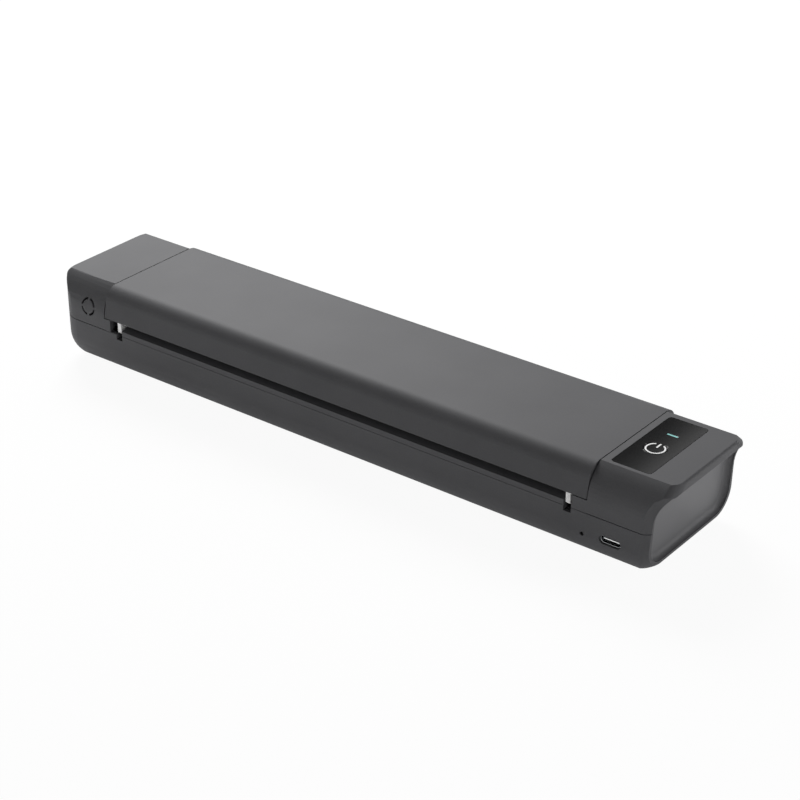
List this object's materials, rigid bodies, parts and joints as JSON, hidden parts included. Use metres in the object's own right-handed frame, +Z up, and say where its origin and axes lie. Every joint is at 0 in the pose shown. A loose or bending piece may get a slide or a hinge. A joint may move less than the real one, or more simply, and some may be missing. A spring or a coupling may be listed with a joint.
{
  "type": "portable A4 thermal printer",
  "caption": "Slim bar-shaped portable thermal printer with a hinged top cover, front paper slot, gloss key panel with power key, and charging port.",
  "frame": {"origin": "centre of the base, on the table that the feet stand on", "axes": "+X along the length towards the key panel, -Y the front where the paper comes out, +Z up"},
  "size_m": [0.3, 0.061, 0.0393],
  "materials": {
    "case_plastic": "fine moulded texture",
    "end_plastic": "fine moulded texture",
    "dark_plastic": "moulded, dull",
    "bracket_steel": "zinc plated, dull",
    "bearing_plastic": "moulded acetal, satin",
    "bright_steel": "ground",
    "screw_steel": "zinc plated",
    "roller_rubber": "ground silicone",
    "gear_plastic": "moulded acetal",
    "pinion_brass": "hobbed",
    "motor_can": "nickel plated",
    "head_aluminium": "milled",
    "head_ceramic": "glazed",
    "cream_plastic": "moulded nylon",
    "ribbon_plastic": "flexible film",
    "gloss_black": "polished",
    "white_mark": "printed",
    "light_plastic": "frosted",
    "board_green": "solder mask",
    "cell_can": "drawn can",
    "sleeve_blue": "shrink film",
    "lead_red": "insulation",
    "lead_black": "insulation",
    "foot_rubber": "moulded"
  },
  "bodies": {
    "base": {"top_case": "case_plastic", "bottom_case": "case_plastic", "end_panel": "end_plastic", "idler_post": "bright_steel", "stepper_motor": "motor_can", "gear_plate": "bracket_steel", "motor_screws": "screw_steel", "hinge_pins": "bright_steel", "head_pivot_rod": "bright_steel", "head_springs": "bright_steel", "head_cable": "ribbon_plastic", "gloss_panel": "gloss_black", "key_switch": "dark_plastic", "light_bar": "light_plastic", "status_light": "light_plastic", "key_board": "board_green", "key_board_screws": "screw_steel", "buzzer": "dark_plastic", "paper_sensor": "dark_plastic", "battery_cells": "cell_can", "battery_sleeve": "sleeve_blue", "battery_lead": "lead_red", "motor_lead": "lead_black", "main_board": "board_green", "board_chips": "dark_plastic", "board_capacitors": "cell_can", "board_sockets": "cream_plastic", "wireless_module": "motor_can", "board_screws": "screw_steel", "charging_port": "bright_steel", "charging_tongue": "dark_plastic", "reset_switch": "dark_plastic", "rubber_feet": "foot_rubber", "case_screws": "screw_steel"},
    "cover": {"cover_shell": "case_plastic", "cover_guide": "dark_plastic", "roller_brackets": "bracket_steel", "bearing_collars": "bearing_plastic", "cover_screws": "screw_steel"},
    "platen": {"platen_roller": "roller_rubber", "platen_shaft": "bright_steel", "platen_gear": "gear_plastic"},
    "idler": {"idler_gear": "gear_plastic"},
    "rotor": {"motor_pinion": "pinion_brass", "motor_shaft": "bright_steel"},
    "head": {"head_bar": "head_aluminium", "head_ceramic": "head_ceramic", "head_driver_strip": "dark_plastic", "head_connector": "cream_plastic"},
    "power_button": {"power_key": "gloss_black", "power_symbol": "white_mark", "key_plunger": "cream_plastic"},
    "reset_button": {"reset_plunger": "cream_plastic"}
  },
  "joints": [
    {"name": "cover_hinge", "type": "hinge", "parent": "base", "child": "cover", "pos_m": [0, 0.025, 0.0318], "axis": [-1, 0, 0], "range_deg": [0, 95]},
    {"name": "platen_spin", "type": "hinge", "parent": "cover", "child": "platen", "pos_m": [0, -0.0238, 0.0275], "axis": [1, 0, 0], "continuous": true},
    {"name": "idler_spin", "type": "hinge", "parent": "base", "child": "idler", "pos_m": [-0.1178, -0.02055, 0.01857], "axis": [1, 0, 0], "continuous": true},
    {"name": "pinion_spin", "type": "hinge", "parent": "base", "child": "rotor", "pos_m": [-0.1178, -0.01239, 0.01477], "axis": [1, 0, 0], "continuous": true},
    {"name": "head_pivot", "type": "hinge", "parent": "base", "child": "head", "pos_m": [0, -0.0127, 0.021], "axis": [1, 0, 0], "range_deg": [0, 2.5], "stiffness_Nm_per_rad": 1.1, "springref_deg": -11.46, "deforming": ["head_springs"]},
    {"name": "power_press", "type": "slide", "parent": "base", "child": "power_button", "axis": [0, 0, -1], "range_m": [0, 0.00035], "stiffness_N_per_m": 2000, "springref_m": -0.0004},
    {"name": "reset_press", "type": "slide", "parent": "base", "child": "reset_button", "axis": [0, 1, 0], "range_m": [0, 0.00025], "stiffness_N_per_m": 2000, "springref_m": -0.0003}
  ],
  "couplings": [
    {"joint": "idler_spin", "follows": "platen_spin", "ratio": -0.72727},
    {"joint": "pinion_spin", "follows": "platen_spin", "ratio": 1.1429}
  ]
}
